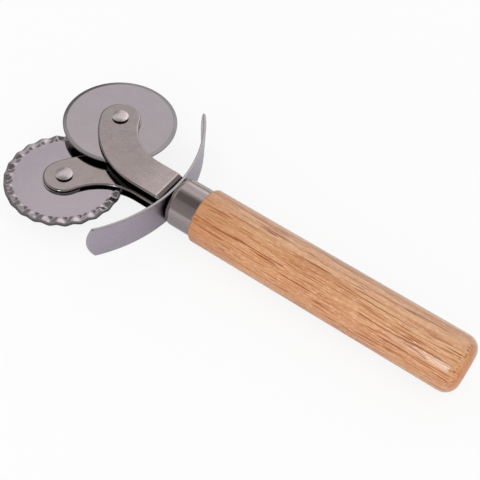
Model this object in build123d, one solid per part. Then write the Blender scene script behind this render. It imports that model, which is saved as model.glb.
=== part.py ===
from build123d import *
import math
import os

# Double pastry wheel: a plain and a fluted wheel on two stacked forks, a bow guard and a dowel handle.
# Millimetres. +X runs along the handle towards the wheels and +Z is square to the wheels.
# The origin is on the handle's axis, at the middle of its straight grip.

# Handle, a turned dowel
HANDLE_R = 11.1
GRIP_LENGTH = 104.0
BUTT_ROUND = 5.5
SHOULDER_ROUND = 1.25
TENON_ROUND = 1.7
TENON_PLAY = 0.05

# Ferrule, a drawn cup over the handle's tenon
FERRULE_R = 9.75
FERRULE_LENGTH = 12.4
FERRULE_WALL = 0.7
FERRULE_NOSE_ROUND = 2.6
FERRULE_LIP_ROUND = 0.2
FERRULE_DEPTH_PLAY = 0.3

# Bow guard, a strip bent to one arc, its ends a little off centre
GUARD_THICKNESS = 1.2
GUARD_HALF_HEIGHT = 7.6
GUARD_BEND_R = 59.0
GUARD_BEND_Y = 0.8
GUARD_CORNER_Y = 36.8
GUARD_TIP_Y = 38.7
GUARD_OFF_CENTRE = -1.2
GUARD_CORNER_ROUND = 0.7
GUARD_EDGE_ROUND = 0.3

# Forks, two equal stampings of folded sheet, one turned over
SHEET = 1.0
FORK_GAP = 2.8
FOLD_DEPTH = 3.4
FOLD_NOSE_HALF = 0.7
NOSE_ROUND = 1.1
BEND_ROUND = 2.2
FORK_OUTER_Y = 7.5
FORK_INNER_Y = 7.85
FORK_EYE_R = 8.1
OUTER_SIDE_RUN = 10.0
INNER_SIDE_RUN = 9.2
FORK_OUTER_ROUND = 0.75
FORK_INNER_ROUND = 0.15

# Wheels
AXLE_X = 107.2
AXLE_Y = 17.2
WHEEL_SIDE_PLAY = 0.05
WHEEL_BORE_PLAY = 0.05
PLAIN_R = 23.0
PLAIN_THICKNESS = 1.0
PLAIN_BEVEL = 1.6
PLAIN_EDGE = 0.5
FLUTED_R = 23.1
FLUTED_THICKNESS = 1.4
FLUTES = 24
FLUTE_HEIGHT = 0.9
FLUTE_ROOT_R = 19.9
FLUTE_STEP_R = 20.7
FLUTE_STEP_SHARE = 0.8
FLUTE_PHASE = math.radians(11.6)

# Axle rivets, bushes and washers
SHANK_R = 1.75
SHANK_PLAY = 0.05
HEAD_R = 3.3
HEAD_SIDE = 0.75
HEAD_CROWN = 0.45
PEENED_R = 3.0
PEENED_HEIGHT = 0.8
PEENED_ROUND = 0.5
BUSH_R = 3.0
WASHER_R = 8.5

# Tang, a round rod from the forks' folds into the handle
TANG_R = 3.0
TANG_NECK_R = 2.5
TANG_POINT_R = 1.0
TANG_IN_HANDLE = 38.0
TANG_POINT = 4.0
TANG_BARBS = 8
TANG_HOLE_PLAY = 0.1

# Stations along X; the forks' folds bear on the bowed guard at their sides
butt_x = -GRIP_LENGTH / 2 - BUTT_ROUND
shoulder_x = GRIP_LENGTH / 2 + SHOULDER_ROUND
ferrule_front_x = shoulder_x + FERRULE_LENGTH
guard_front_x = ferrule_front_x + GUARD_THICKNESS
guard_bow = GUARD_BEND_R - math.sqrt(GUARD_BEND_R**2 - (FORK_INNER_Y + GUARD_BEND_Y) ** 2)
fork_root_x = guard_front_x + guard_bow
fork_height = FORK_GAP + 2 * SHEET
fold_x = fork_root_x + FOLD_DEPTH
fold_slope = (fork_height / 2 - FOLD_NOSE_HALF) / FOLD_DEPTH

# The forks lie on each other at the handle's axis, so this is the height of each one's middle plane
fork_z = fork_height / 2

# Side of the handle, along Y, that each wheel is on
PLAIN = -1
FLUTED = 1


def lathe(points, rounds=()):
    """Solid turned about X from (x, radius) points, with (point, radius) pairs of rounded corners."""
    profile = make_face(Polyline(*points, close=True))
    for corner, radius in rounds:
        vertex = profile.vertices().sort_by_distance(Vector(*corner))[0]
        profile = fillet(vertex, radius)
    return revolve(profile, Axis.X)


def tube(length, outer_r, inner_r=0.0):
    """Plain bar or tube along X, centred on the origin."""
    half = length / 2
    return lathe([(-half, inner_r), (-half, outer_r), (half, outer_r), (half, inner_r)])


def on_axle(solid, side):
    """A solid turned about X, stood up on the axle of the fork on one side."""
    return Pos(AXLE_X, side * AXLE_Y, -side * fork_z) * Rot(0, -90, 0) * solid


def tang_hole(play):
    """Straight hole for the tang, with some play all round."""
    back_x = shoulder_x - TANG_IN_HANDLE
    length = fork_root_x - back_x
    return Pos(back_x + length / 2, 0, 0) * tube(length, TANG_R + play)


def make_handle():
    tenon_r = FERRULE_R - FERRULE_WALL - TENON_PLAY
    tenon_x = ferrule_front_x - FERRULE_WALL - FERRULE_DEPTH_PLAY
    butt = (butt_x, HANDLE_R)
    shoulder = (shoulder_x, HANDLE_R)
    tenon_end = (tenon_x, tenon_r)
    points = [(butt_x, 0), butt, shoulder, (shoulder_x, tenon_r), tenon_end, (tenon_x, 0)]
    rounds = [(butt, BUTT_ROUND), (shoulder, SHOULDER_ROUND), (tenon_end, TENON_ROUND)]
    return lathe(points, rounds) - tang_hole(0)


def make_ferrule():
    inner_r = FERRULE_R - FERRULE_WALL
    inner_x = ferrule_front_x - FERRULE_WALL
    lip = (shoulder_x, FERRULE_R)
    nose = (ferrule_front_x, FERRULE_R)
    inner_nose = (inner_x, inner_r)
    points = [(shoulder_x, inner_r), lip, nose, (ferrule_front_x, 0), (inner_x, 0), inner_nose]
    inner_round = FERRULE_NOSE_ROUND - FERRULE_WALL
    rounds = [(lip, FERRULE_LIP_ROUND), (nose, FERRULE_NOSE_ROUND), (inner_nose, inner_round)]
    return lathe(points, rounds) - tang_hole(TANG_HOLE_PLAY)


def make_guard():
    """Strip bent about an upright axis ahead of it, its two tips cut to arcs as seen from the front."""
    ring = Circle(GUARD_BEND_R + GUARD_THICKNESS) - Circle(GUARD_BEND_R)
    ring = Pos(guard_front_x + GUARD_BEND_R, GUARD_BEND_Y) * ring
    strip = extrude(ring, GUARD_HALF_HEIGHT, both=True)
    top = [(-GUARD_CORNER_Y, GUARD_HALF_HEIGHT), (GUARD_CORNER_Y, GUARD_HALF_HEIGHT)]
    bottom = [(y, -z) for y, z in top]
    edges = [Line(*top), Line(*bottom)]
    for upper, lower in zip(top, bottom):
        tip = (math.copysign(GUARD_TIP_Y, upper[0]), 0)
        edges.append(ThreePointArc(upper, tip, lower))
    front_view = make_face(edges)
    front_view = fillet(front_view.vertices(), GUARD_CORNER_ROUND)
    front_view = Plane.YZ * Pos(GUARD_OFF_CENTRE, 0) * front_view
    guard = strip & extrude(front_view, guard_front_x + GUARD_BEND_R)
    guard = fillet(guard.edges(), GUARD_EDGE_ROUND)
    return guard - tang_hole(TANG_HOLE_PLAY)


def leaf_plan():
    """Plan of the plain wheel's fork: a straight root, an outer and an inner curve, and a round eye."""
    eye = Vector(AXLE_X, PLAIN * AXLE_Y)
    outer_start = Vector(fold_x + OUTER_SIDE_RUN, FORK_OUTER_Y)
    inner_start = Vector(fold_x + INNER_SIDE_RUN, -FORK_INNER_Y)
    # The outer curve touches the straight side and goes round outside the eye
    run = eye.X - outer_start.X
    drop = outer_start.Y - eye.Y
    outer_r = run**2 / (2 * (drop - FORK_EYE_R)) + (drop + FORK_EYE_R) / 2
    outer_centre = outer_start - Vector(0, outer_r)
    outer_end = eye + (eye - outer_centre).normalized() * FORK_EYE_R
    # The inner curve touches the straight side and bends the other way into the eye
    run = eye.X - inner_start.X
    drop = inner_start.Y - eye.Y
    inner_r = run**2 / (2 * (drop + FORK_EYE_R)) + (drop - FORK_EYE_R) / 2
    inner_centre = inner_start - Vector(0, inner_r)
    inner_end = eye + (inner_centre - eye).normalized() * FORK_EYE_R
    eye_tip = eye - ((outer_end + inner_end) / 2 - eye).normalized() * FORK_EYE_R
    root_x = fork_root_x - SHEET
    edges = [
        Line((root_x, FORK_OUTER_Y), outer_start),
        TangentArc(outer_start, outer_end, tangent=(1, 0)),
        ThreePointArc(outer_end, eye_tip, inner_end),
        TangentArc(inner_start, inner_end, tangent=(1, 0)),
        Line(inner_start, (root_x, -FORK_INNER_Y)),
        Line((root_x, -FORK_INNER_Y), (root_x, FORK_OUTER_Y)),
    ]
    return make_face(edges)


def fork_rim(fork, outer):
    """Edges that run round the fork's outer or inner skin, along its leaves and its fold."""

    def is_outer(edge):
        middle = edge @ 0.5
        into_fold = max(fold_x - middle.X, 0)
        sheet_middle = (FORK_GAP + SHEET) / 2 - into_fold * fold_slope
        return abs(middle.Z - fork_z) > sheet_middle or into_fold > FOLD_DEPTH - SHEET / 2

    edges = fork.edges() - fork.edges().filter_by(Axis.Y) - fork.edges().filter_by(Axis.Z)
    return edges.filter_by(lambda edge: is_outer(edge) == outer)


def make_fork():
    """Fork of the plain wheel: a sheet folded to a blunt nose at the guard, cut to the leaf's plan and drilled."""
    reach = AXLE_X + FORK_EYE_R + SHEET - fold_x
    upper = [(reach, fork_height / 2), (0, fork_height / 2), (-FOLD_DEPTH, FOLD_NOSE_HALF)]
    lower = [(x, -z) for x, z in reversed(upper)]
    skin = make_face(Polyline(*upper, *lower, close=True))
    skin = fillet(skin.vertices().group_by(Axis.X)[0], NOSE_ROUND)
    skin = fillet(skin.vertices().filter_by(lambda vertex: vertex.X == 0), BEND_ROUND)
    section = Plane.XZ * Pos(fold_x, fork_z) * (skin - offset(skin, -SHEET))
    folded = extrude(section, AXLE_Y + 2 * FORK_EYE_R, both=True)
    fork = folded & extrude(leaf_plan(), 2 * fork_height, both=True)
    fork = fillet(fork_rim(fork, outer=False), FORK_INNER_ROUND)
    fork = fillet(fork_rim(fork, outer=True), FORK_OUTER_ROUND)
    return fork - on_axle(tube(2 * fork_height, SHANK_R + SHANK_PLAY), PLAIN)


def make_plain_wheel():
    """Flat disc with its edge ground to a bevel on both faces."""
    half = PLAIN_THICKNESS / 2
    bore = BUSH_R + WHEEL_BORE_PLAY
    upper = [(half, bore), (half, PLAIN_R - PLAIN_BEVEL), (PLAIN_EDGE / 2, PLAIN_R)]
    lower = [(-x, r) for x, r in reversed(upper)]
    return on_axle(lathe(upper + lower), PLAIN)


def ruled(first, second):
    """Ruled face between two straight edges given by their end points."""
    return Face.make_surface_from_curves(Edge.make_line(*first), Edge.make_line(*second))


def make_fluted_wheel():
    """Disc whose rim is pressed into a zigzag of straight flutes, with a short step at their root."""
    half = FLUTED_THICKNESS / 2
    rise = FLUTE_HEIGHT / 2
    step = math.pi / FLUTES
    rings = [(FLUTE_ROOT_R, 0.0), (FLUTE_STEP_R, FLUTE_STEP_SHARE * rise), (FLUTED_R, rise)]

    def point(ring, index, face):
        radius, lift = ring
        wave = lift if index % 2 else -lift
        angle = FLUTE_PHASE + index * step
        return Vector(radius * math.cos(angle), radius * math.sin(angle), face * half + wave)

    faces = []
    for index in range(2 * FLUTES):
        pair = (index, index + 1)
        for face in (1, -1):
            for inner, outer in zip(rings, rings[1:]):
                inner_edge = [point(inner, i, face) for i in pair]
                outer_edge = [point(outer, i, face) for i in pair]
                faces.append(ruled(inner_edge, outer_edge))
        upper_rim, lower_rim = [[point(rings[-1], i, face) for i in pair] for face in (1, -1)]
        faces.append(ruled(upper_rim, lower_rim))
    for face in (1, -1):
        corners = [point(rings[0], i, face) for i in range(2 * FLUTES)]
        faces.append(Face(Wire.make_polygon(corners, close=True)))
    disc = Solid(Shell(faces))
    bore = Cylinder(BUSH_R + WHEEL_BORE_PLAY, 2 * FLUTED_THICKNESS)
    return Pos(AXLE_X, FLUTED * AXLE_Y, -fork_z) * (disc - bore)


def make_rivet(side):
    """Rivet with a crowned head above and a smaller peened head below."""
    grip = fork_height / 2
    head_top = grip + HEAD_SIDE
    apex = head_top + HEAD_CROWN
    peened_end = -grip - PEENED_HEIGHT
    points = [(head_top, HEAD_R), (grip, HEAD_R), (grip, SHANK_R), (-grip, SHANK_R), (-grip, PEENED_R)]
    points += [(peened_end, PEENED_R), (peened_end, 0), (apex, 0)]
    crown = TangentArc((apex, 0), (head_top, HEAD_R), tangent=(0, 1))
    profile = make_face([Polyline(*points), crown])
    peened_corner = profile.vertices().sort_by_distance(Vector(peened_end, PEENED_R))[0]
    profile = fillet(peened_corner, PEENED_ROUND)
    return on_axle(revolve(profile, Axis.X), side)


def make_bush(side, wheel_thickness):
    """Sleeve on the rivet, a little longer than the wheel is thick."""
    length = wheel_thickness + 2 * WHEEL_SIDE_PLAY
    return on_axle(tube(length, BUSH_R, SHANK_R + SHANK_PLAY), side)


def make_washer(side, wheel_thickness, level):
    """Washer between the bush and the leaf above it (level +1) or below it (level -1)."""
    bush_half = wheel_thickness / 2 + WHEEL_SIDE_PLAY
    thickness = FORK_GAP / 2 - bush_half
    ring = tube(thickness, WASHER_R, SHANK_R + SHANK_PLAY)
    return on_axle(Pos(level * (bush_half + thickness / 2), 0, 0) * ring, side)


def make_tang():
    """Rod with a flat front end, barbs along the stretch inside the handle and a blunt point."""
    back_x = shoulder_x - TANG_IN_HANDLE
    pitch = (TANG_IN_HANDLE - TANG_POINT) / TANG_BARBS
    points = [(fork_root_x, 0), (fork_root_x, TANG_R)]
    for index in range(TANG_BARBS):
        barb_x = shoulder_x - index * pitch
        points.append((barb_x, TANG_R))
        points.append((barb_x - pitch, TANG_NECK_R))
    points += [(back_x, TANG_POINT_R), (back_x, 0)]
    return lathe(points)


plain_fork = make_fork()
nodes = {
    "handle": make_handle(),
    "ferrule": make_ferrule(),
    "guard": make_guard(),
    "tang": make_tang(),
    "plain_fork": plain_fork,
    "fluted_fork": Rot(180, 0, 0) * plain_fork,
    "plain_wheel": make_plain_wheel(),
    "fluted_wheel": make_fluted_wheel(),
}
for name, side, thickness in (("plain", PLAIN, PLAIN_THICKNESS), ("fluted", FLUTED, FLUTED_THICKNESS)):
    nodes[f"{name}_axle_rivet"] = make_rivet(side)
    nodes[f"{name}_bush"] = make_bush(side, thickness)
    nodes[f"{name}_upper_washer"] = make_washer(side, thickness, 1)
    nodes[f"{name}_lower_washer"] = make_washer(side, thickness, -1)

os.makedirs("parts", exist_ok=True)
for name, solid in nodes.items():
    export_step(solid, f"parts/{name}.step")
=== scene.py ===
import math

import bmesh
import bpy
from mathutils import Matrix, Vector


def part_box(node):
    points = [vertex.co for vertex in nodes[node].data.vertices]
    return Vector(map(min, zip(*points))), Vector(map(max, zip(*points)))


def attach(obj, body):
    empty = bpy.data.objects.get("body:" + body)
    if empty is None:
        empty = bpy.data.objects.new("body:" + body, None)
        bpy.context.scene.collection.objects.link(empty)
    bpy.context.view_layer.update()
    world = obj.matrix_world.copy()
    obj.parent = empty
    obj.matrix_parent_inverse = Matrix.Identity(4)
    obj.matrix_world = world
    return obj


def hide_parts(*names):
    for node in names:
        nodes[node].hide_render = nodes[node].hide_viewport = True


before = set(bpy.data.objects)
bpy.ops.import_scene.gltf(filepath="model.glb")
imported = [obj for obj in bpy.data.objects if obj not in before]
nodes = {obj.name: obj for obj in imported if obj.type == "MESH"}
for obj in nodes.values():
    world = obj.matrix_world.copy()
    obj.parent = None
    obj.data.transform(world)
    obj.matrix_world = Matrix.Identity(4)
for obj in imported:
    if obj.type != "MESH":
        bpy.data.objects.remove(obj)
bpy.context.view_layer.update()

MM = 0.001
TO_MM = (1 / MM, 1 / MM, 1 / MM)
X, Y, Z = 0, 1, 2

# Axles, as the joints give them
PLAIN_AXLE = Vector((107.2, -17.2, 2.4)) * MM
FLUTED_AXLE = Vector((107.2, 17.2, -2.4)) * MM

# Camera, fitted to the photo
CAMERA_AT = Vector((-50.77, 171.23, 245.05)) * MM
CAMERA_FORWARD = Vector((0.2786, -0.5469, -0.7895))
CAMERA_UP = Vector((0.4892, -0.6266, 0.6067))
CAMERA_LENS = 62.57
SENSOR_WIDTH = 36.0
CLIP_START = 0.01
CLIP_END = 50.0


def add_camera():
    data = bpy.data.cameras.new("camera")
    data.lens = CAMERA_LENS
    data.sensor_width = SENSOR_WIDTH
    data.clip_start = CLIP_START
    data.clip_end = CLIP_END
    back = -CAMERA_FORWARD.normalized()
    right = CAMERA_UP.cross(back).normalized()
    up = back.cross(right)
    camera = bpy.data.objects.new("camera", data)
    turn = Matrix((right, up, back)).transposed().to_4x4()
    camera.matrix_world = Matrix.Translation(CAMERA_AT) @ turn
    bpy.context.scene.collection.objects.link(camera)
    bpy.context.scene.camera = camera


class Shader:
    """Node tree of a material or world, built from short calls."""

    def __init__(self, owner, output="OutputMaterial"):
        self.owner = owner
        owner.use_nodes = True
        self.tree = owner.node_tree
        self.tree.nodes.clear()
        self.output = self.node(output)

    def node(self, kind, inputs=None, **settings):
        node = self.tree.nodes.new("ShaderNode" + kind)
        for key, value in settings.items():
            setattr(node, key, value)
        for key, value in (inputs or {}).items():
            self.feed(node.inputs[key], value)
        return node

    def feed(self, socket, value):
        if isinstance(value, bpy.types.NodeSocket):
            self.tree.links.new(value, socket)
        else:
            socket.default_value = value

    def show(self, node):
        self.tree.links.new(node.outputs[0], self.output.inputs[0])
        return self.owner

    def coordinate(self, kind):
        return self.node("TexCoord").outputs[kind]

    def split(self, vector):
        return self.node("SeparateXYZ", {0: vector}).outputs

    def math(self, operation, first, second=0.0):
        return self.node("Math", {0: first, 1: second}, operation=operation).outputs[0]

    def vector(self, operation, first, second=(0, 0, 0)):
        node = self.node("VectorMath", {0: first, 1: second}, operation=operation)
        return node.outputs["Value" if operation in ("LENGTH", "DOT_PRODUCT") else "Vector"]

    def scaled(self, vector, scale):
        return self.vector("MULTIPLY", vector, scale)

    def noise(self, vector, detail=2.0, roughness=0.5, output="Fac"):
        inputs = {"Vector": vector, "Scale": 1.0, "Detail": detail, "Roughness": roughness}
        return self.node("TexNoise", inputs).outputs[output]

    def ramp(self, value, low, high, to_low=0.0, to_high=1.0):
        inputs = {0: value, 1: low, 2: high, 3: to_low, 4: to_high}
        return self.node("MapRange", inputs, interpolation_type="SMOOTHSTEP").outputs[0]

    def mix(self, factor, first, second, blend="MIX"):
        node = self.node("Mix", {0: factor, 6: first, 7: second}, data_type="RGBA", blend_type=blend)
        return node.outputs[2]

    def bump(self, height, distance, strength=1.0):
        return self.node("Bump", {"Height": height, "Distance": distance, "Strength": strength}).outputs[0]

    def principled(self, **inputs):
        named = {key.replace("_", " ").title().replace("Ior", "IOR"): value for key, value in inputs.items()}
        return self.show(self.node("BsdfPrincipled", named))


def rgb(red, green, blue):
    return (red, green, blue, 1.0)


# Grain of the wood in millimetres; streaks are (length, width, detail, shift) of a noise stretched along it
NOISE_MEAN = 0.5
SWAY_SCALE = (1 / 45, 1 / 14, 1 / 14)
SWAY_REACH = (0, 2.2, 2.2)
STREAK_ROUGHNESS = 0.55

# One wide growth ring: calm pale wood on the dowel's upper far side, crowded redder wood below
RING_ACROSS = (0.0, 0.57, -0.82)
RING_STREAKS = (80.0, 7.0, 2.0, 40.0)
RING_WANDER = 16.0
RING_SPAN = (-6.5, 3.5)
PALE_WOOD = (0.650, 0.365, 0.190)
CROWDED_WOOD = (0.570, 0.270, 0.118)

# Vessels, thin brown dashes, more in the crowded wood; lines are (length, gap, fineness, dash, shift)
CROWD_STREAKS = (40.0, 4.0, 1.0, 31.0)
CROWD_SPREAD = 0.3
CROWD_IN_RING = 0.06
BOLD_LINES = (70.0, 1.6, 0.07, 30.0, 17.0)
BOLD_SHARE = 0.03
FAINT_LINES = (45.0, 1.2, 0.085, 16.0, 90.0)
FAINT_SHARE = 0.06
SHORT_STREAKS = (12.0, 0.55, 0.0, 53.0)
SHORT_SPAN = (0.73, 0.77)
LINE_CORE = 0.4
DASH_WIDTH = 0.7
DASH_SHIFT = 7.0
DASH_SPAN = (0.515, 0.565)
SPLIT_WIDTH = 0.5
SPLIT_SHIFT = 29.0
SPLIT_SPAN = (0.43, 0.53)
FAINT_OPACITY = 0.8
FAINT_COLOUR = (0.36, 0.12, 0.03)
VESSEL_OPACITY = 0.9
VESSEL_COLOUR = (0.25, 0.05, 0.003)

# Streaks of colour: (streaks, span of the noise, opacity, colour)
WOOD_LAYERS = {
    "tint": ((60.0, 5.0, 2.0, 11.0), (0.40, 0.70), 0.5, (0.53, 0.235, 0.095)),
    "red": ((45.0, 1.6, 2.0, 71.0), (0.50, 0.70), 0.65, (0.49, 0.175, 0.06)),
    "fibre": ((7.0, 0.35, 2.0, 3.0), (0.35, 0.75), 0.5, (0.42, 0.16, 0.055)),
    "fleck": ((1.7, 0.42, 1.0, 23.0), (0.45, 0.80), 0.5, (0.83, 0.555, 0.365)),
}

# The front end is darker and redder towards the ferrule, and end grain drinks more varnish
FRONT_DARKER_SPAN = (26.0, 52.0)
FRONT_DARKER_OPACITY = 0.4
FRONT_DARKER_COLOUR = (0.42, 0.15, 0.045)
END_GRAIN_SPAN = (0.2, 0.8)
END_GRAIN_OPACITY = 0.6
END_GRAIN_COLOUR = (0.49, 0.165, 0.045)

# Relief and gloss of the wood and its varnish
FIBRE_HEIGHT = 0.4
VESSEL_IN_COAT = 0.4
PEEL_SCALE = (0.3, 0.7, 0.7)
WOOD_RELIEF = 0.05 * MM
COAT_RELIEF = 0.02 * MM
RELIEF_STRENGTH = 0.6
WOOD_GLOSS_SPAN = (0.2, 0.8)
WOOD_ROUGHNESS = (0.45, 0.6)
WOOD_SPECULAR = 0.15
COAT_ROUGHNESS = 0.15
COAT_IOR = 1.5


def wood_material():
    s = Shader(bpy.data.materials.new("varnished_wood"))
    mapped = s.scaled(s.coordinate("Object"), TO_MM)
    sway = s.noise(s.scaled(mapped, SWAY_SCALE), output="Color")
    sway = s.scaled(s.vector("SUBTRACT", sway, (NOISE_MEAN, NOISE_MEAN, NOISE_MEAN)), SWAY_REACH)
    grain = s.vector("ADD", mapped, sway)

    def streaks(length, width, detail, shift):
        place = s.vector("ADD", grain, (shift, shift, shift))
        return s.noise(s.scaled(place, (1 / length, 1 / width, 1 / width)), detail, STREAK_ROUGHNESS)

    def centred(value, spread):
        return s.math("MULTIPLY", s.math("SUBTRACT", value, NOISE_MEAN), spread)

    def lines(length, gap, fineness, dash, shift, share):
        """Thin lines along the grain: the level curves of a stretched noise, broken into dashes."""
        level = s.math("ABSOLUTE", s.math("SUBTRACT", streaks(length, gap, 0.0, shift), NOISE_MEAN))
        broken = s.math("ADD", streaks(dash, gap * DASH_WIDTH, 1.0, shift + DASH_SHIFT), share)
        split = s.ramp(streaks(dash, SPLIT_WIDTH, 0.0, shift + SPLIT_SHIFT), *SPLIT_SPAN)
        dashes = s.math("MULTIPLY", s.ramp(broken, *DASH_SPAN), split)
        return s.math("MULTIPLY", s.ramp(level, fineness * LINE_CORE, fineness, 1.0, 0.0), dashes)

    def over(factor, top, colour):
        return s.mix(factor, colour, rgb(*top))

    depth = s.vector("DOT_PRODUCT", grain, RING_ACROSS)
    wander = centred(streaks(*RING_STREAKS), RING_WANDER)
    dense = s.ramp(s.math("ADD", depth, wander), *RING_SPAN)
    colour = s.mix(dense, rgb(*PALE_WOOD), rgb(*CROWDED_WOOD))

    layers = {}
    for name, (streak, span, opacity, top) in WOOD_LAYERS.items():
        layers[name] = streaks(*streak)
        colour = over(s.ramp(layers[name], *span, 0.0, opacity), top, colour)
    fibre = layers["fibre"]

    crowd = centred(streaks(*CROWD_STREAKS), CROWD_SPREAD)
    crowd = s.math("ADD", crowd, centred(dense, CROWD_IN_RING))
    bold = lines(*BOLD_LINES, s.math("ADD", crowd, BOLD_SHARE))
    short = s.ramp(s.math("ADD", streaks(*SHORT_STREAKS), crowd), *SHORT_SPAN)
    vessel = s.math("MAXIMUM", bold, short)
    faint = lines(*FAINT_LINES, FAINT_SHARE)
    colour = over(s.math("MULTIPLY", faint, FAINT_OPACITY), FAINT_COLOUR, colour)
    colour = over(s.math("MULTIPLY", vessel, VESSEL_OPACITY), VESSEL_COLOUR, colour)

    front_darker = s.ramp(s.split(mapped)[X], *FRONT_DARKER_SPAN, 0.0, FRONT_DARKER_OPACITY)
    colour = over(front_darker, FRONT_DARKER_COLOUR, colour)
    facing = s.math("ABSOLUTE", s.split(s.coordinate("Normal"))[X])
    colour = over(s.ramp(facing, *END_GRAIN_SPAN, 0.0, END_GRAIN_OPACITY), END_GRAIN_COLOUR, colour)

    height = s.math("SUBTRACT", s.math("MULTIPLY", fibre, FIBRE_HEIGHT), vessel)
    peel = s.noise(s.scaled(mapped, PEEL_SCALE))
    coat_height = s.math("SUBTRACT", peel, s.math("MULTIPLY", vessel, VESSEL_IN_COAT))
    return s.principled(
        base_color=colour,
        roughness=s.ramp(fibre, *WOOD_GLOSS_SPAN, *WOOD_ROUGHNESS),
        specular_ior_level=WOOD_SPECULAR,
        normal=s.bump(height, WOOD_RELIEF, RELIEF_STRENGTH),
        coat_weight=1.0,
        coat_roughness=COAT_ROUGHNESS,
        coat_ior=COAT_IOR,
        coat_normal=s.bump(coat_height, COAT_RELIEF, RELIEF_STRENGTH),
    )


# Grain of the steel in millimetres, and how its noises add up
SHEET_GRAIN = (4.0, 4.0, 4.0)
AXLE_GRAIN = (6.0, 1.0, 1.0)
AROUND_SCALE = (2.2, 2.2, 0)
MOTTLE_SCALE = (0.22, 0.22, 0.22)
SPECK_SCALE = (2.4, 2.4, 2.4)
FINE_SHARE = 0.4
MOTTLE_SHARE = 0.25
SPECK_SHARE = 0.35
TONE_SPAN = (0.36, 0.64)
GLOSS_SPAN = (0.3, 0.7)
GLOSS_SPREAD = 0.2
SKIN_FADE = 1.1

# Painted shade: faces deep between the sheets and parts, where ambient occlusion finds little open sky, are
# coloured near black
CREVICE_DEPTH = 10 * MM
CREVICE_SAMPLES = 8
CREVICE_SPAN = (0.12, 0.42)
CREVICE_SHADE_COLOUR = (0.006, 0.005, 0.005)


def steel_material(name, colour, roughness, grain=SHEET_GRAIN, contrast=0.06, bump=0.004, axle=None,
                   anisotropy=0.0, rings=(), fold_sheen=None, edge=None, shade_facing=None, inner=None):
    """Stainless sheet: fine grain in colour, gloss and height, circular round an axle where one is given.

    rings: (radius, softness, colour, roughness) each, the finish outside that radius
    fold_sheen: (near, far, gain), painted sheen: a sheet made brighter from the far X to the near X
    edge: (colour, from, to), a colour painted over faces as their normal's upright share goes from one to the
    other, for painted shade on walls or a painted highlight on rims
    shade_facing: (from, to), the Y share of the normal over which that painted edge colour sets in
    inner: (height, half, colour), painted shade: the colour given to faces within half of the planes at that
    height above and below Z = 0
    """
    s = Shader(bpy.data.materials.new(name))
    mapped = s.scaled(s.coordinate("Object"), TO_MM)
    mottle = s.noise(s.scaled(mapped, MOTTLE_SCALE), detail=4.0, roughness=0.65)
    speck = s.noise(s.scaled(mapped, SPECK_SCALE), detail=2.0, roughness=0.6)
    place = mapped
    if axle is not None:
        flat = s.scaled(s.vector("SUBTRACT", mapped, tuple(axle / MM)), (1, 1, 0))
        radius = s.vector("LENGTH", flat)
        around = s.split(s.scaled(s.vector("NORMALIZE", flat), AROUND_SCALE))
        place = s.node("CombineXYZ", {X: radius, Y: around[X], Z: around[Y]}).outputs[0]
        grain = AXLE_GRAIN
    fine = s.noise(s.scaled(place, grain), detail=3.0, roughness=0.6)
    tone = s.math("ADD", s.math("MULTIPLY", fine, FINE_SHARE), s.math("MULTIPLY", mottle, MOTTLE_SHARE))
    tone = s.math("ADD", tone, s.math("MULTIPLY", speck, SPECK_SHARE))
    light = tuple(value * (1 + contrast) for value in colour)
    dark = tuple(value * (1 - contrast) for value in colour)
    base = s.mix(s.ramp(tone, *TONE_SPAN), rgb(*dark), rgb(*light))
    rough = s.ramp(tone, *GLOSS_SPAN, roughness * (1 - GLOSS_SPREAD), roughness * (1 + GLOSS_SPREAD))
    for ring_r, soft, ring_colour, ring_rough in rings:
        base = s.mix(s.ramp(radius, ring_r - soft, ring_r + soft), base, rgb(*ring_colour))
        rough = s.ramp(radius, ring_r - soft, ring_r + soft, rough, ring_rough)
    # Painted sheen: the sheet is lightened towards the near X, where the fork folds
    if fold_sheen is not None:
        near_x, far_x, gain = fold_sheen
        base = s.mix(1.0, base, s.ramp(s.split(mapped)[X], near_x, far_x, gain, 1.0), "MULTIPLY")
    # Painted shade or painted highlight: faces take the edge colour by how upright their normal is
    if edge is not None:
        edge_colour, start, end = edge
        facing = s.split(s.coordinate("Normal"))
        share = s.ramp(s.math("ABSOLUTE", facing[Z]), start, end)
        if shade_facing is not None:
            share = s.math("MULTIPLY", share, s.ramp(facing[Y], *shade_facing))
        base = s.mix(share, base, rgb(*edge_colour))
    # Painted shade: the inner skins between a fork's sheets are coloured near black
    if inner is not None:
        middle_z, half, inner_shade_colour = inner
        from_axis = s.math("ABSOLUTE", s.split(mapped)[Z])
        from_middle = s.math("ABSOLUTE", s.math("SUBTRACT", from_axis, middle_z))
        base = s.mix(s.ramp(from_middle, half, half * SKIN_FADE, 1.0, 0.0), base, rgb(*inner_shade_colour))
    # Painted shade: the colour goes near black where little open sky is found within the crevice depth
    open_sky = s.node("AmbientOcclusion", {"Distance": CREVICE_DEPTH}, samples=CREVICE_SAMPLES).outputs["AO"]
    base = s.mix(s.ramp(open_sky, *CREVICE_SPAN, 1.0, 0.0), base, rgb(*CREVICE_SHADE_COLOUR))
    inputs = {
        "base_color": base,
        "metallic": 1.0,
        "roughness": rough,
        "normal": s.bump(fine, bump * MM),
    }
    if anisotropy:
        inputs["anisotropic"] = anisotropy
        inputs["tangent"] = s.node("Tangent", direction_type="RADIAL", axis="Z").outputs[0]
    return s.principled(**inputs)


# Colours of edges, skins and rings: painted shade on walls and on the forks' inner skins, a painted highlight
# on the guard's rims, a painted sheen towards the fold, and the ground bevels of the wheels
PAINTED_SHADE_WALL = ((0.035, 0.030, 0.030), 0.6, 0.2)
# Painted highlight: faces of the guard whose normal is near upright, its top and bottom rims, are coloured
# light
PAINTED_HIGHLIGHT_RIM = ((0.43, 0.405, 0.415), 0.6, 0.9)
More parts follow.
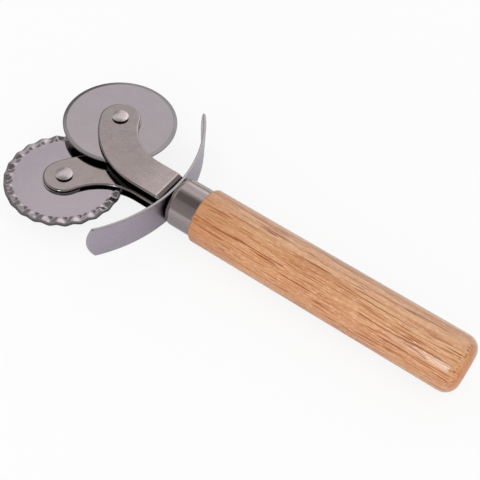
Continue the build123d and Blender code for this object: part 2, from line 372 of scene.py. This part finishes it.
# Fork walls turned towards -Y keep the plain steel; the painted shade darkens only the other walls
FORK_FAR_WALL = (-0.25, -0.05)
# Painted shade on the inner skins between the fork's sheets
FORK_INSIDE_SHADE = (2.4, 1.56, (0.02, 0.017, 0.016))
# Painted sheen on the fork sheet towards the fold
FORK_FOLD_SHEEN = (73.0, 86.0, 1.25)
PLAIN_RINGS = [
    (21.45, 0.15, (0.258, 0.244, 0.248), 0.15),
    (22.6, 0.25, (0.235, 0.220, 0.222), 0.2),
]
FLUTED_RINGS = [
    (19.9, 0.6, (0.40, 0.363, 0.382), 0.2),
    (22.3, 0.3, (0.29, 0.267, 0.270), 0.35),
    (22.8, 0.12, (0.15, 0.138, 0.138), 0.4),
]

MATERIALS = {
    "handle_wood": wood_material(),
    "ferrule_steel": steel_material(
        "ferrule_satin", (0.355, 0.305, 0.306), 0.15, grain=(0.8, 7.0, 7.0)),
    # Painted highlight on the guard's rims
    "guard_steel": steel_material(
        "guard_satin", (0.41, 0.365, 0.425), 0.30, grain=(3.0, 0.8, 7.0), edge=PAINTED_HIGHLIGHT_RIM),
    "fork_steel": steel_material(
        "fork_satin", (0.320, 0.276, 0.277), 0.12, grain=(2.2, 4.0, 4.0), contrast=0.16,
        fold_sheen=FORK_FOLD_SHEEN, edge=PAINTED_SHADE_WALL, shade_facing=FORK_FAR_WALL, inner=FORK_INSIDE_SHADE),
    "plain_wheel_steel": steel_material(
        "plain_wheel_satin", (0.385, 0.345, 0.365), 0.12, contrast=0.05,
        axle=PLAIN_AXLE, anisotropy=0.4, rings=PLAIN_RINGS),
    "fluted_wheel_steel": steel_material(
        "fluted_wheel_satin", (0.374, 0.334, 0.367), 0.10, contrast=0.05,
        axle=FLUTED_AXLE, rings=FLUTED_RINGS),
    # Painted shade on the sides of the rivet heads
    "rivet_steel": steel_material(
        "rivet_bright", (0.53, 0.473, 0.483), 0.22, contrast=0.2, bump=0.02, edge=PAINTED_SHADE_WALL),
    "washer_steel": steel_material("washer_satin", (0.36, 0.325, 0.335), 0.22),
    "hidden_steel": steel_material("plain_bar_steel", (0.33, 0.31, 0.30), 0.35),
}


def dress_nodes():
    for node in nodes.values():
        slot = node.material_slots[0].material.name
        node.material_slots[0].link = "OBJECT"
        node.material_slots[0].material = MATERIALS[slot]


# Wheels in millimetres, each about its axle; rounds are (way out from the bevel's start, drop of the face)
WHEEL_STEPS = 384
SHARP_ANGLE = math.radians(20)
BORE_R = 3.05
BORE_CHAMFER = 0.1
EDGE_DROP = 0.03
PLAIN_R = 22.99
PLAIN_HALF = 0.5
PLAIN_MIDDLE_R = 12.0
PLAIN_BEVEL = 1.6
PLAIN_BEVEL_ROUND = [(-0.25, 0.0), (-0.08, 0.004), (0.08, 0.019), (0.25, 0.039)]
PLAIN_EDGE_HALF = 0.25
PLAIN_EDGE_IN = 0.06
PLAIN_EDGE_RISE = 0.015
FLUTED_R = 23.05
FLUTED_HALF = 0.7
FLUTED_FACE_RADII = [8.0, 13.0, 17.0, 19.0, 19.4, 19.7, 20.0, 20.3, 20.6, 20.9, 21.2, 21.5, 21.8, 22.0]
FLUTED_BEVEL_R = 22.3
FLUTED_BEVEL_ROUND = [(-0.15, 0.0), (0.0, 0.02), (0.15, 0.07)]
FLUTED_EDGE_HALF = 0.3
FLUTED_EDGE_IN = 0.05
FLUTED_EDGE_RISE = 0.03
FLUTES = 24
FLUTE_PHASE = math.radians(11.6)
FLUTE_CRISPNESS = 0.9
FLUTE_RISE = 0.45
FLUTE_ROOT_R = 19.4
FLUTE_STEP_R = 21.0


def smooth_step(value):
    value = min(max(value, 0.0), 1.0)
    return value * value * (3 - 2 * value)


def flute_wave(angle):
    """Height of the pressed flutes from -1 to 1: straight flanks between round crests and valleys."""
    swing = math.cos((angle - FLUTE_PHASE) * FLUTES)
    return -math.asin(FLUTE_CRISPNESS * swing) / math.asin(FLUTE_CRISPNESS)


def flute_lift(radius, angle):
    if radius <= FLUTE_ROOT_R:
        return 0.0
    share = smooth_step((radius - FLUTE_ROOT_R) / (FLUTE_STEP_R - FLUTE_ROOT_R))
    return FLUTE_RISE * share * flute_wave(angle)


def no_lift(radius, angle):
    return 0.0


def add_wheel(name, upper, lift, axle, body, slot):
    """Ring swept round an axle: an upper profile of (radius, height) and its mirror image, raised by lift."""
    profile = upper + [(radius, -height) for radius, height in reversed(upper)]
    bm = bmesh.new()
    rings = []
    for step in range(WHEEL_STEPS):
        angle = math.tau * step / WHEEL_STEPS + FLUTE_PHASE
        ring = []
        for radius, height in profile:
            raised = height + lift(radius, angle)
            local = Vector((radius * math.cos(angle), radius * math.sin(angle), raised)) * MM
            ring.append(bm.verts.new(axle + local))
        rings.append(ring)
    for step, ring in enumerate(rings):
        after = rings[(step + 1) % WHEEL_STEPS]
        for point in range(len(profile)):
            following = (point + 1) % len(profile)
            bm.faces.new((ring[point], after[point], after[following], ring[following]))
    bmesh.ops.recalc_face_normals(bm, faces=bm.faces)
    mesh = bpy.data.meshes.new(name + "_visual")
    bm.to_mesh(mesh)
    bm.free()
    for face in mesh.polygons:
        face.use_smooth = True
    mesh.set_sharp_from_angle(angle=SHARP_ANGLE)
    mesh.materials.append(MATERIALS[slot])
    wheel = bpy.data.objects.new(name + "_visual", mesh)
    bpy.context.scene.collection.objects.link(wheel)
    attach(wheel, body)
    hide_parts(name)


def add_wheels():
    bevel_r = PLAIN_R - PLAIN_BEVEL
    plain = [(BORE_R, PLAIN_HALF - BORE_CHAMFER), (BORE_R + BORE_CHAMFER, PLAIN_HALF)]
    plain += [(PLAIN_MIDDLE_R, PLAIN_HALF)]
    plain += [(bevel_r + out, PLAIN_HALF - drop) for out, drop in PLAIN_BEVEL_ROUND]
    plain += [(PLAIN_R - PLAIN_EDGE_IN, PLAIN_EDGE_HALF + PLAIN_EDGE_RISE)]
    plain += [(PLAIN_R, PLAIN_EDGE_HALF - EDGE_DROP)]
    add_wheel("plain_wheel", plain, no_lift, PLAIN_AXLE, "plain_wheel_body", "plain_wheel_steel")
    fluted = [(BORE_R, FLUTED_HALF - BORE_CHAMFER), (BORE_R + BORE_CHAMFER, FLUTED_HALF)]
    fluted += [(radius, FLUTED_HALF) for radius in FLUTED_FACE_RADII]
    fluted += [(FLUTED_BEVEL_R + out, FLUTED_HALF - drop) for out, drop in FLUTED_BEVEL_ROUND]
    fluted += [(FLUTED_R - FLUTED_EDGE_IN, FLUTED_EDGE_HALF + FLUTED_EDGE_RISE)]
    fluted += [(FLUTED_R, FLUTED_EDGE_HALF - EDGE_DROP)]
    add_wheel("fluted_wheel", fluted, flute_lift, FLUTED_AXLE, "fluted_wheel_body", "fluted_wheel_steel")


# Floor and background
FLOOR_SIZE = 12.0
FLOOR_CENTRE_X = 0.03
FLOOR_NEAR = 0.14
FLOOR_FAR = 0.40
FLOOR_WHITE_SEEN = 0.85
FLOOR_WHITE_MIRRORED = 0.2
FLOOR_PALE = (0.85, 0.85, 0.85)
WHITE = (1, 1, 1)
WORLD_LIGHT = 0.92


def add_quad(name, corners, material):
    mesh = bpy.data.meshes.new(name)
    mesh.from_pydata(corners, [], [(0, 1, 2, 3)])
    mesh.materials.append(material)
    quad = bpy.data.objects.new(name, mesh)
    bpy.context.scene.collection.objects.link(quad)
    return quad


def add_floor():
    """Pale floor, white in the picture and in reflections apart from the object's shadow near it."""
    s = Shader(bpy.data.materials.new("pale_floor"))
    path = s.node("LightPath").outputs
    mirrored = s.math("MAXIMUM", path["Is Glossy Ray"], path["Is Transmission Ray"])
    away = s.vector("LENGTH", s.coordinate("Object"))
    white_seen = s.ramp(away, FLOOR_NEAR, FLOOR_FAR, FLOOR_WHITE_SEEN, 1.0)
    white_mirrored = s.ramp(away, FLOOR_NEAR, FLOOR_FAR, FLOOR_WHITE_MIRRORED, 1.0)
    white_share = s.math("MULTIPLY", path["Is Camera Ray"], white_seen)
    white_share = s.math("ADD", white_share, s.math("MULTIPLY", mirrored, white_mirrored))
    pale = s.node("BsdfDiffuse", {"Color": rgb(*FLOOR_PALE)})
    white = s.node("Emission", {"Color": rgb(*WHITE), "Strength": 1.0})
    both = s.node("MixShader", {0: white_share, 1: pale.outputs[0], 2: white.outputs[0]})
    half = FLOOR_SIZE / 2
    corners = [(-half, -half, 0), (half, -half, 0), (half, half, 0), (-half, half, 0)]
    floor = add_quad("floor", corners, s.show(both))
    floor.location = (FLOOR_CENTRE_X, 0.0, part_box("handle")[0].z)


def add_world():
    s = Shader(bpy.data.worlds.new("studio"), "OutputWorld")
    path = s.node("LightPath").outputs
    seen = path["Is Camera Ray"]
    for kind in ("Is Glossy Ray", "Is Transmission Ray"):
        seen = s.math("MAXIMUM", seen, path[kind])
    strength = s.ramp(seen, 0.0, 1.0, WORLD_LIGHT, 1.0)
    back = s.node("Background", {"Color": rgb(*WHITE), "Strength": strength})
    bpy.context.scene.world = s.show(back)


# Key lamp, aimed at the handle's butt
KEY_AIM = Vector((-45, 0, 8)) * MM
KEY_DIRECTION = Vector((-0.13, 0.89, 0.43)).normalized()
KEY_DISTANCE = 0.9
KEY_WIDTH = 0.30
KEY_HEIGHT = 0.55
KEY_POWER = 2.5


def add_key_lamp():
    data = bpy.data.lights.new("key_softbox", "AREA")
    data.shape = "RECTANGLE"
    data.size = KEY_WIDTH
    data.size_y = KEY_HEIGHT
    data.energy = KEY_POWER
    lamp = bpy.data.objects.new("key_softbox", data)
    lamp.location = KEY_AIM + KEY_DIRECTION * KEY_DISTANCE
    lamp.rotation_euler = KEY_DIRECTION.to_track_quat("Z", "Y").to_euler()
    lamp.visible_camera = False
    lamp.visible_glossy = False
    bpy.context.scene.collection.objects.link(lamp)


# Room that the panels hang in, in metres
HEAD_X = 1.6
HEAD_FLAG_X = 0.8
HEAD_FLAG_Y = -1.1
HEAD_FLAG_TOP = 1.4
BUTT_X = -1.6
FRONT_Y = 1.4
BACK_Y = -2.2
FOOT_Z = 0.05
TOP_Z = 2.2
WINDOW_X = 0.25
WINDOW_Y = -1.15
GLOW_X = 0.6
GLOW_Y = -1.7
CORNER_X = -0.25
CORNER_Y = -1.2
SOFTBOX_X = -0.4
SOFTBOX_HIGH_X = 0.9
SOFTBOX_FOOT = 0.75
SOFTBOX_MIDDLE = 1.3
KEY_GLOW_Y = 0.7
PANEL_TINT = (1.0, 0.96, 0.95)
PANEL_HIDDEN_FROM = ("camera", "diffuse", "transmission", "volume_scatter", "shadow")


def upright(x0, y0, x1, y1, foot, top):
    return [(x0, y0, foot), (x1, y1, foot), (x1, y1, top), (x0, y0, top)]


def overhead(x0, y0, x1, y1):
    return [(x0, y0, TOP_Z), (x1, y0, TOP_Z), (x1, y1, TOP_Z), (x0, y1, TOP_Z)]


def whole_side(x0, y0, x1, y1):
    return upright(x0, y0, x1, y1, FOOT_Z, TOP_Z)


# Panel behind the varnish's highlight, with a soft bright spot of (centre, half sizes, strength)
KEY_GLOW = {
    "corners": upright(-0.14, KEY_GLOW_Y, 0.04, KEY_GLOW_Y, 0.12, 0.54),
    "axis": X,
    "span": (-0.05, 0.04),
    "greys": (2.4, 1.0),
    "tint": (0.74, 0.95, 1.04),
    "spot": ((-0.05, KEY_GLOW_Y, 0.33), (0.022, 1.0, 0.25), 20.0),
}

# Other panels: (name, corners, axis of the shading, span along it, greys from one end to the other)
HEAD_FLAG = upright(HEAD_X, HEAD_FLAG_Y, HEAD_X, FRONT_Y, FOOT_Z, HEAD_FLAG_TOP)
HEAD_LOW_FLAG = upright(HEAD_X, BACK_Y, HEAD_X, HEAD_FLAG_Y, FOOT_Z, HEAD_FLAG_TOP)
BACK_LOW_FLAG = upright(BUTT_X, BACK_Y, HEAD_X, BACK_Y, FOOT_Z, SOFTBOX_FOOT)
BACK_SOFTBOX = upright(SOFTBOX_X, BACK_Y, HEAD_X, BACK_Y, SOFTBOX_FOOT, SOFTBOX_MIDDLE)
BACK_HIGH_SOFTBOX = upright(SOFTBOX_X, BACK_Y, SOFTBOX_HIGH_X, BACK_Y, SOFTBOX_MIDDLE, TOP_Z)
PANELS = [
    ("front_flag", whole_side(BUTT_X, FRONT_Y, HEAD_X, FRONT_Y), Z, (FOOT_Z, TOP_Z), (0.5, 0.4)),
    ("top_flag", overhead(WINDOW_X, WINDOW_Y, HEAD_FLAG_X, FRONT_Y), Y, (WINDOW_Y, -0.5), (1.1, 0.2)),
    ("top_head_flag", overhead(HEAD_FLAG_X, WINDOW_Y, HEAD_X, FRONT_Y), Y, (WINDOW_Y, 0.1), (1.15, 0.25)),
    ("head_flag", HEAD_FLAG, Y, (HEAD_FLAG_Y, 0.0), (0.4, 0.42)),
    ("head_low_flag", HEAD_LOW_FLAG, Y, (-2.1, -1.45), (1.1, 0.4)),
    ("butt_flag", whole_side(BUTT_X, BACK_Y, BUTT_X, FRONT_Y), Z, (FOOT_Z, TOP_Z), (0.55, 0.5)),
    ("butt_top_flag", overhead(BUTT_X, CORNER_Y, WINDOW_X, FRONT_Y), X, (-1.2, WINDOW_X), (0.5, 0.8)),
    ("butt_back_flag", overhead(BUTT_X, BACK_Y, CORNER_X, CORNER_Y), X, (-1.2, WINDOW_X), (0.32, 0.45)),
    ("window_glow", overhead(GLOW_X, GLOW_Y, HEAD_X, WINDOW_Y), Y, (GLOW_Y, -1.25), (1.0, 1.15)),
    ("window_rim", overhead(WINDOW_X, BACK_Y, GLOW_X, WINDOW_Y), X, (0.0, 1.0), (1.6, 1.6)),
    ("window_corner", overhead(CORNER_X, BACK_Y, WINDOW_X, CORNER_Y), X, (0.0, 1.0), (1.6, 1.6)),
    ("back_low_flag", BACK_LOW_FLAG, Z, (FOOT_Z, SOFTBOX_FOOT), (0.35, 1.3)),
    ("back_softbox", BACK_SOFTBOX, X, (0.7, 1.5), (1.8, 0.8)),
    ("back_high_softbox", BACK_HIGH_SOFTBOX, Z, (FOOT_Z, TOP_Z), (1.6, 1.6)),
]


def add_flag(name, corners, axis, span, greys, tint=PANEL_TINT, spot=None):
    """Studio panel that only shows in reflections, shaded along one axis, with a bright spot if given."""
    s = Shader(bpy.data.materials.new(name))
    place = s.coordinate("Object")
    shade = s.ramp(s.split(place)[axis], *span, *greys)
    if spot is not None:
        centre, halves, strength = spot
        offset = s.vector("SUBTRACT", place, centre)
        away = s.vector("LENGTH", s.vector("DIVIDE", offset, halves))
        shade = s.math("ADD", shade, s.ramp(away, 0.0, 1.0, strength, 0.0))
    paint = s.node("Emission", {"Color": rgb(*tint), "Strength": shade})
    flag = add_quad(name, corners, s.show(paint))
    for kind in PANEL_HIDDEN_FROM:
        setattr(flag, "visible_" + kind, False)


def add_studio():
    add_floor()
    add_world()
    add_key_lamp()
    add_flag("key_glow", **KEY_GLOW)
    for panel in PANELS:
        add_flag(*panel)


add_camera()
dress_nodes()
add_wheels()
add_studio()
bpy.context.scene.view_settings.view_transform = "Standard"
